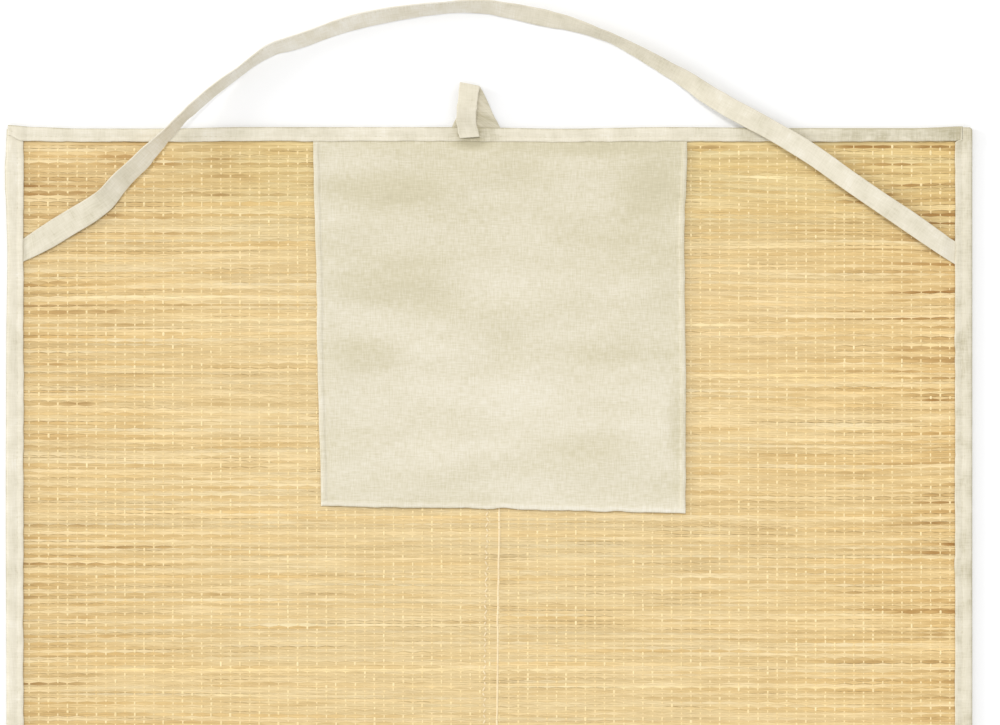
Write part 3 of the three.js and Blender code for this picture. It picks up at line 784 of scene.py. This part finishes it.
class MAT_OT_bindings(bpy.types.Operator):
    """Fold and sew the four cotton binding tapes round the straw"""

    bl_idname = "beach_mat.bindings"
    bl_label = "Bindings"

    def execute(self, context):
        cloth = context.scene.mat_cloth
        shades = [hex_of(colour) for colour in (cloth.tape, cloth.tape_shaded, cloth.tape_painted_shade)]
        tape = cotton_cloth("unbleached_cotton_tape", *shades, 0.9)
        cotton_thread("cotton_sewing_thread", hex_of(cloth.stitch), "#c2baa0")
        left, right, end = (w / MM for w in (cloth.left_width, cloth.right_width, cloth.end_width))
        pitch = cloth.stitch_pitch / MM
        side_rows = np.arange(-886, 889, pitch)

        # Left: it ends under the head tape, where it is pressed thin.
        y = side_places(-898.9, 899.2)
        out = -table_at(LEFT_EDGE, y)
        levels = leaf_levels((smooth_step(y, 889.5, 891.5), COVERED))
        place = lambda a, s, z: joined(s - HALF_WIDTH, a, z)
        lift = 0.75 * bell(y, 824, 9)
        piece, wide = binding("binding_left", y, out, left + 0 * y, levels, place, tape, 4.0, 21, lift)
        sewn = stitch_row("stitches_left", place(side_rows, left - 4.0, SEAM_TOP), ALONG, ACROSS)

        # Right: it runs to the top over the head tape's end, narrower there, with a rounded corner.
        y = np.unique(np.concatenate([side_places(-898.9, 900.0), np.linspace(890, 900, 14)]))
        narrow = 3.4 * smooth_step(y, 890.9, 892.5)
        out = 2.0 - np.sqrt(np.maximum(4.0 - np.maximum(y - 898.0, 0) ** 2, 0))
        levels = leaf_levels((smooth_step(y, 886, 890), COVERING))
        place = lambda a, s, z: joined(HALF_WIDTH - s, a, z)
        lift = 0.75 * bell(y, 822, 9)
        piece, wide = binding("binding_right", y, out, right - narrow, levels, place, tape, 4.2 - narrow, 22, lift)
        sewn = stitch_row("stitches_right", place(side_rows, right - 4.2, SEAM_TOP), ALONG, ACROSS)

        # Head: over the left tape's end, cut on a slant there, and under the right tape.
        def inner(x):
            return end - 0.55 * table_at(HEAD_EDGE, x) - 3.0 * (1 - smooth_step(x, -299, -290.5))

        x = np.unique(np.concatenate([np.arange(-299.0, 294.0, 1.9), np.linspace(-299.0, -288, 10), [294.0]]))
        over, under = 1 - smooth_step(x, -290, -287.5), smooth_step(x, 286.5, 288.5)
        levels = leaf_levels((over, COVERING), (under, (*COVERED[:3], 2.95)))
        place = lambda a, s, z: joined(a, HALF_LENGTH - s, z)
        piece, wide = binding("binding_head", x, -table_at(HEAD_EDGE, x), inner(x), levels, place, tape, 3.0, 23)
        rows = np.arange(-297, 287, pitch)
        at = place(rows, inner(rows) - 3.0, np.where(rows < -288, SEAM_TOP + 0.45, SEAM_TOP))
        sewn = stitch_row("stitches_head", at, ACROSS, ALONG)

        # Foot: between the side tapes.
        x = np.unique(np.append(np.arange(-291.5, 291.5, 5.0), 291.5))
        levels = leaf_levels((smooth_step(np.abs(x), 285, 289), (0.9, 1.3, 2.3, 2.6)))
        place = lambda a, s, z: joined(a, s - HALF_LENGTH, z)
        piece, wide = binding("binding_foot", x, 0 * x, end + 0 * x, levels, place, tape, 3.0, 24)
        at = place(np.arange(-285, 286, pitch), end - 3.0, SEAM_TOP)
        sewn = stitch_row("stitches_foot", at, ACROSS, ALONG)
        return {"FINISHED"}


class MAT_OT_panel(bpy.types.Operator):
    """Lay the cotton panel on the head end, with its hems and soft ripples"""

    bl_idname = "beach_mat.panel"
    bl_label = "Head panel"

    def execute(self, context):
        cloth = context.scene.mat_cloth
        shades = [hex_of(colour) for colour in (cloth.panel, cloth.panel_shaded, cloth.tape_painted_shade)]
        name = "unbleached_plain_weave_cotton"
        material = cotton_cloth(name, *shades, 0.8, blotch=(80.0, 24.0), clouded=0.45)
        rng = np.random.default_rng(31)
        hem, width, length = 3.4, 228, 230
        share, fold = np.linspace(0, 1, 92), [0.4, 0.9, 1.6, 2.8, hem]
        sides = np.array([*fold, hem - 0.3, hem + 0.3]) / width
        u = np.unique(np.concatenate([share, sides, 1 - sides]))
        v = np.unique(np.concatenate([share, np.array([*fold, hem + 0.4]) / length]))
        loose = 0.35 * wander(rng.standard_normal(40), u * width, 12.0, -5.0)
        loose = loose + 0.2 * wander(rng.standard_normal(90), u * width, 4.0, -5.0)
        (start, _), *_, (stop, _) = PANEL_BOTTOM
        low = table_at(PANEL_BOTTOM, start + u * (stop - start)) + loose
        y = low + (892.5 - low) * v[:, None]
        x_left, x_right = (
            table_at(edge, y) + 0.12 * wander(rng.standard_normal(40), y, 9.0, 655.0)
            for edge in (PANEL_LEFT, PANEL_RIGHT)
        )
        x = x_left + (x_right - x_left) * u

        def cloud(long, wide, seed):
            knots = np.random.default_rng(seed).standard_normal((40, 40))
            a, b = (x + 120) / long, (y - 650) / wide
            i, j = np.floor(a).astype(int), np.floor(b).astype(int)
            f, g = eased(a - i), eased(b - j)
            rows = [knots[r, i] * (1 - f) + knots[r, i + 1] * f for r in (j, j + 1)]
            return rows[0] * (1 - g) + rows[1] * g

        # Soft ripples lie across the cloth, long and low, and fade towards the sewn edges.
        from_side, from_low = np.minimum(x - x_left, x_right - x), y - low
        from_edge = np.minimum(from_side, from_low)
        ripple = (0.42 * cloud(62, 22, 3) + 0.18 * cloud(24, 11, 4)) * smooth_step(from_edge, 0, 16)
        thick = 0.55 + 0.3 * (1 - smooth_step(from_edge, hem - 0.3, hem + 0.3))
        thick = thick - 0.16 * bell(from_edge, hem - 0.1, 0.45) - 0.3 * (1 - smooth_step(from_edge, 0, 0.9))
        base = np.maximum(3.07 + ripple * 0.75, 2.85)
        tuck = smooth_step(y, 888.6, 891.2)
        z_top = (base + thick) * (1 - tuck) + 2.68 * tuck
        z_low = base * (1 - tuck) + 2.45 * tuck
        # Painted shade and light from the table, painted shade towards the head, a painted highlight on the hems'
        # folds.
        shade = sum(much * patch(x, y, *where) for *where, much in PANEL_SHADES)
        painted_shade = np.maximum(shade, 0) + 0.1 * smooth_step(y, 780, 890)
        pale = np.maximum(-shade, 0) + 0.4 * bell(from_low, 1.6, 1.2) + 0.15 * bell(from_side, 1.8, 1.4)
        outside, inside = joined(x, y, z_top), joined(x, y, np.minimum(z_low, z_top - 0.2))
        run, tone = joined(x, y), joined(painted_shade, pale)
        piece = new_cloth("pillow_panel_cloth", "pillow_panel", outside, inside, material, run, tone)
        rows, across = np.arange(667, 889, 2.9), np.arange(-101, 119, 2.9)
        at_left, at_right = table_at(PANEL_LEFT, rows) + hem - 0.1, table_at(PANEL_RIGHT, rows) - hem + 0.1
        at_low = joined(across, table_at(PANEL_BOTTOM, across) + hem - 0.1, PANEL_SEAM_TOP)
        sewn = [
            stitch_row("stitches_panel_" + name, at, way, side, 1.9, 0.45)
            for name, at, way, side in (
                ("left", joined(at_left, rows, PANEL_SEAM_TOP), ALONG, ACROSS),
                ("right", joined(at_right, rows, PANEL_SEAM_TOP), ALONG, ACROSS),
                ("low", at_low, ACROSS, ALONG),
            )
        ]
        return {"FINISHED"}


def folded_strip(node, centres, sides, ups, inner, outer, half, shades, seed=51, spread=0.0):
    """Tape folded in half along its length: two layers, joined along the inner edge, leaning as it lies."""
    rng = np.random.default_rng(seed)
    n = len(centres)
    layer, void = 0.33, 0.05
    q = np.array([-1, -0.88, -0.7, -0.45, -0.2, 0, 0.2, 0.45, 0.68, 0.76, 0.9, 1.0])
    bend = smooth_step(q, -0.3, 0.3)
    lean = np.radians(inner[:, None] * (1 - bend) + outer[:, None] * bend)
    between = (lean[:, 1:] + lean[:, :-1]) / 2
    half, spread = (np.broadcast_to(size, (n,))[:, None] for size in (half, spread))
    step = np.diff(q) * (half + spread * (q[1:] < 0.01))
    over, rise = summed(np.cos(between) * step), summed(np.sin(between) * step)
    over, rise = over - over[:, 5:6], rise - rise[:, 5:6]
    wobble = 0.12 * wander(rng.standard_normal((2, 240)), np.arange(n), 4.0, 0.0)[..., None]
    over = over + (np.where(q > 0.5, wobble[0], 0) + np.where(q < -0.5, wobble[1], 0)) * q
    lay = lambda aside, upwards: sides[:, None] * aside[..., None] + ups[:, None] * upwards[..., None]
    spine, normal = centres[:, None] + lay(over, rise), lay(-np.sin(lean), np.cos(lean))
    puff = 0.06 * wander(rng.standard_normal((1, 260)), np.arange(n), 3.0, 0.0)[0]
    full = layer + 0.06 + 0.05 * np.cos(q * math.pi / 2) + puff[:, None] * 0.5
    full = full - 0.16 * bell(q, 0.72, 0.05) - 0.12 * (q > 0.95)
    fold_way = -lay(np.cos(lean), np.sin(lean))[:, 0]

    def wrapped(thick, fold):
        """A face of both layers from the open edge round the fold and back."""
        turns = [(math.cos(a), math.sin(a)) for a in (math.pi / 4, 0, -math.pi / 4)]
        bulge = [spine[:, 0] + fold_way * fold * c + normal[:, 0] * thick[:, 0] * s for c, s in turns]
        top, low = spine + normal * thick, spine - normal * thick
        return np.concatenate([top[:, ::-1], np.stack(bulge, axis=1), low], axis=1)

    outside = wrapped(full[..., None], full[:, :1])
    inside = wrapped(np.full((n, len(q), 1), void), 0.04)
    travel, across = travelled(centres), travelled(outside)
    tone = np.broadcast_to(shades[:, None], (*across.shape, 2))
    run, tape = joined(travel[:, None], across), bpy.data.materials["unbleached_cotton_tape"]
    piece = new_cloth(node + "_tape", node, outside, inside, tape, run, tone)
    return piece, float(travel[-1]), float(across[:, -1].mean()), spine, normal, full


class MAT_OT_strap(bpy.types.Operator):
    """Lay the shoulder strap along its bowed route, with its fold, its stitches and its turns"""

    bl_idname = "beach_mat.strap"
    bl_label = "Shoulder strap"

    def execute(self, context):
        half = context.scene.mat_cloth.strap_width / MM / 2
        line = through(STRAP_ROUTE, 6)
        line = line[np.abs(line[:, 0]) < 293]
        x = line[:, 0]
        # Both ends go in under the side bindings.
        held = smooth_step(np.abs(x), 282, 290)
        line[:, 2] = line[:, 2] * (1 - held) + 2.75 * held
        centres = line[:, :3]
        ahead = unit(np.gradient(centres, axis=0) * (1, 1, 0))
        sides = np.cross(UP, ahead)
        # The ends are cut along the bindings, not square.
        cut = smooth_step(np.abs(x), 272, 290)
        sides = sides - ahead * (cut * sides[:, 0] / ahead[:, 0])[:, None]
        ups = np.broadcast_to(UP, centres.shape)
        # On the left it opens at its end, and leans more where it rises.
        inner, outer = line[:, 3:].T + 4 * stretch(x, (-232, -222), (-192, -180))
        spread = 2.6 * stretch(x, (-291, -272), (-250, -222))
        # It is darker at its left end, painted shade darkens it where it turns down on the right, and painted light
        # brightens it along its bow.
        darkened = 0.18 * (1 - smooth_step(x, -250, -190)) + 0.2 * stretch(x, (10, 60), (112, 145))
        painted_light = 0.34 * stretch(x, (-230, -200), (-15, 30)) + 0.22 * stretch(x, (-205, -150), (-30, 0))
        strip = folded_strip(
            "shoulder_strap", centres, sides, ups, inner, outer, half, joined(darkened, painted_light), spread=spread
        )
        piece, length, wide, spine, normal, full = strip
        seam = 9
        picks = np.searchsorted(travelled(centres), np.arange(2, length - 2, 2.9))
        at = spine[picks, seam] + normal[picks, seam] * (full[picks, seam][:, None] + 0.1)
        way = unit(np.gradient(spine[:, seam], axis=0)[picks])
        dashes = thread_dashes(at, way, np.cross(way, normal[picks, seam]), 1.9, 0.45, 0.2, 0.2)
        thread = bpy.data.materials["cotton_sewing_thread"]
        sewn = new_piece("stitches_strap", *dashes, thread, smooth=False)
        return {"FINISHED"}


class MAT_OT_loop(bpy.types.Operator):
    """Stand up the hanging loop at the middle of the head edge"""

    bl_idname = "beach_mat.loop"
    bl_label = "Hanging loop"

    def execute(self, context):
        per_row, top_row = 7, 9
        line = through(LOOP_ROUTE, per_row)
        centres, wide, turn = line[:, :3], line[:, 3], np.radians(line[:, 4])
        ahead = unit(np.gradient(centres, axis=0))
        sides = joined(-np.cos(turn), np.sin(turn), 0.0)
        ups = unit(np.cross(ahead, sides))
        flat = np.zeros(len(line))
        # Painted shade: the back leg is drawn darker, as in the shade of the front one, and the front leg a little
        # darker.
        back = smooth_step(np.arange(len(line)), per_row * top_row, per_row * top_row + 5)
        shades = joined(0.55 * back + 0.12 * (1 - back), 0.0)
        strip = folded_strip("hanging_loop", centres, sides, ups, flat, flat, wide / 2, shades, seed=61)
        piece, length, wide = strip[:3]
        return {"FINISHED"}


class MAT_OT_stage(bpy.types.Operator):
    """Set up the camera over the head end, the plain floor and the soft light"""

    bl_idname = "beach_mat.stage"
    bl_label = "Stage"

    def execute(self, context):
        scene, stage = context.scene, context.scene.mat_stage
        camera = bpy.data.cameras.new("camera")
        camera.lens, camera.sensor_width = 100.0, 36.0
        eye = bpy.data.objects.new("camera", camera)
        eye.location = (6.5 * MM, 754.0 * MM, stage.camera_height)
        scene.collection.objects.link(eye)
        scene.camera = eye
        bpy.ops.mesh.primitive_plane_add(size=12.0, location=(0.0, 0.0, -0.4 * MM))
        floor = context.active_object
        floor.name = "floor"
        bpy.ops.object.transform_apply(location=True, rotation=True, scale=True)
        # Matt paper, smooth and plain, so that the mat stands out on it.
        paper, tree, shader = new_material("matt_studio_paper", 0.9)
        place = add_node(tree, "ShaderNodeTexCoord")
        grain = add_node(tree, "ShaderNodeTexNoise", {"Vector": place.outputs["Object"], "Scale": 400.0})
        shader.inputs["Base Color"].default_value = linear(hex_of(stage.floor))
        add_relief(tree, shader, grain.outputs["Fac"], 0.02, 0.2)
        floor.data.materials.append(paper)
        for name, strength, spread, aim in (
            ("key_light", stage.key, 14, (-0.06, 0.38, 0.92)),
            ("side_light", stage.side, 20, (-0.93, 0.22, 0.27)),
        ):
            lamp = bpy.data.lights.new(name, "SUN")
            lamp.energy, lamp.angle = strength, math.radians(spread)
            lamp_object = bpy.data.objects.new(name, lamp)
            x, y, z = unit(np.array(aim))
            lamp_object.rotation_euler = (math.acos(z), 0.0, math.atan2(x, -y))
            scene.collection.objects.link(lamp_object)
        world = bpy.data.worlds.new("soft_white_room")
        world.use_nodes = True
        background = world.node_tree.nodes["Background"].inputs
        background["Color"].default_value = (1.0, 1.0, 1.0, 1.0)
        background["Strength"].default_value = stage.sky
        scene.world = world
        scene.view_settings.view_transform = "Standard"
        return {"FINISHED"}


class VIEW3D_PT_beach_mat(bpy.types.Panel):
    """Lists the settings and the pieces of the mat"""

    bl_label = "Beach mat"
    bl_space_type = "VIEW_3D"
    bl_region_type = "UI"
    bl_category = "Beach mat"

    def draw(self, context):
        for key in SETTINGS:
            group, box = getattr(context.scene, key), self.layout.box()
            box.label(text=key.split("_")[1].title())
            for setting in group.__annotations__:
                box.prop(group, setting)
        for operator in OPERATORS:
            self.layout.operator(operator.bl_idname)


SETTINGS = {"mat_straw": MatStrawSettings, "mat_cloth": MatClothSettings, "mat_stage": MatStageSettings}
OPERATORS = (MAT_OT_stage, MAT_OT_straw, MAT_OT_seam, MAT_OT_bindings, MAT_OT_panel, MAT_OT_strap, MAT_OT_loop)
CLASSES = (*SETTINGS.values(), *OPERATORS, VIEW3D_PT_beach_mat)


def register():
    for kind in CLASSES:
        bpy.utils.register_class(kind)
    for key, group in SETTINGS.items():
        setattr(bpy.types.Scene, key, bpy.props.PointerProperty(type=group))


def unregister():
    for key in SETTINGS:
        delattr(bpy.types.Scene, key)
    for kind in reversed(CLASSES):
        bpy.utils.unregister_class(kind)


def main():
    register()
    for operator in OPERATORS:
        group, name = operator.bl_idname.split(".")
        getattr(getattr(bpy.ops, group), name)()


if __name__ == "__main__":
    main()
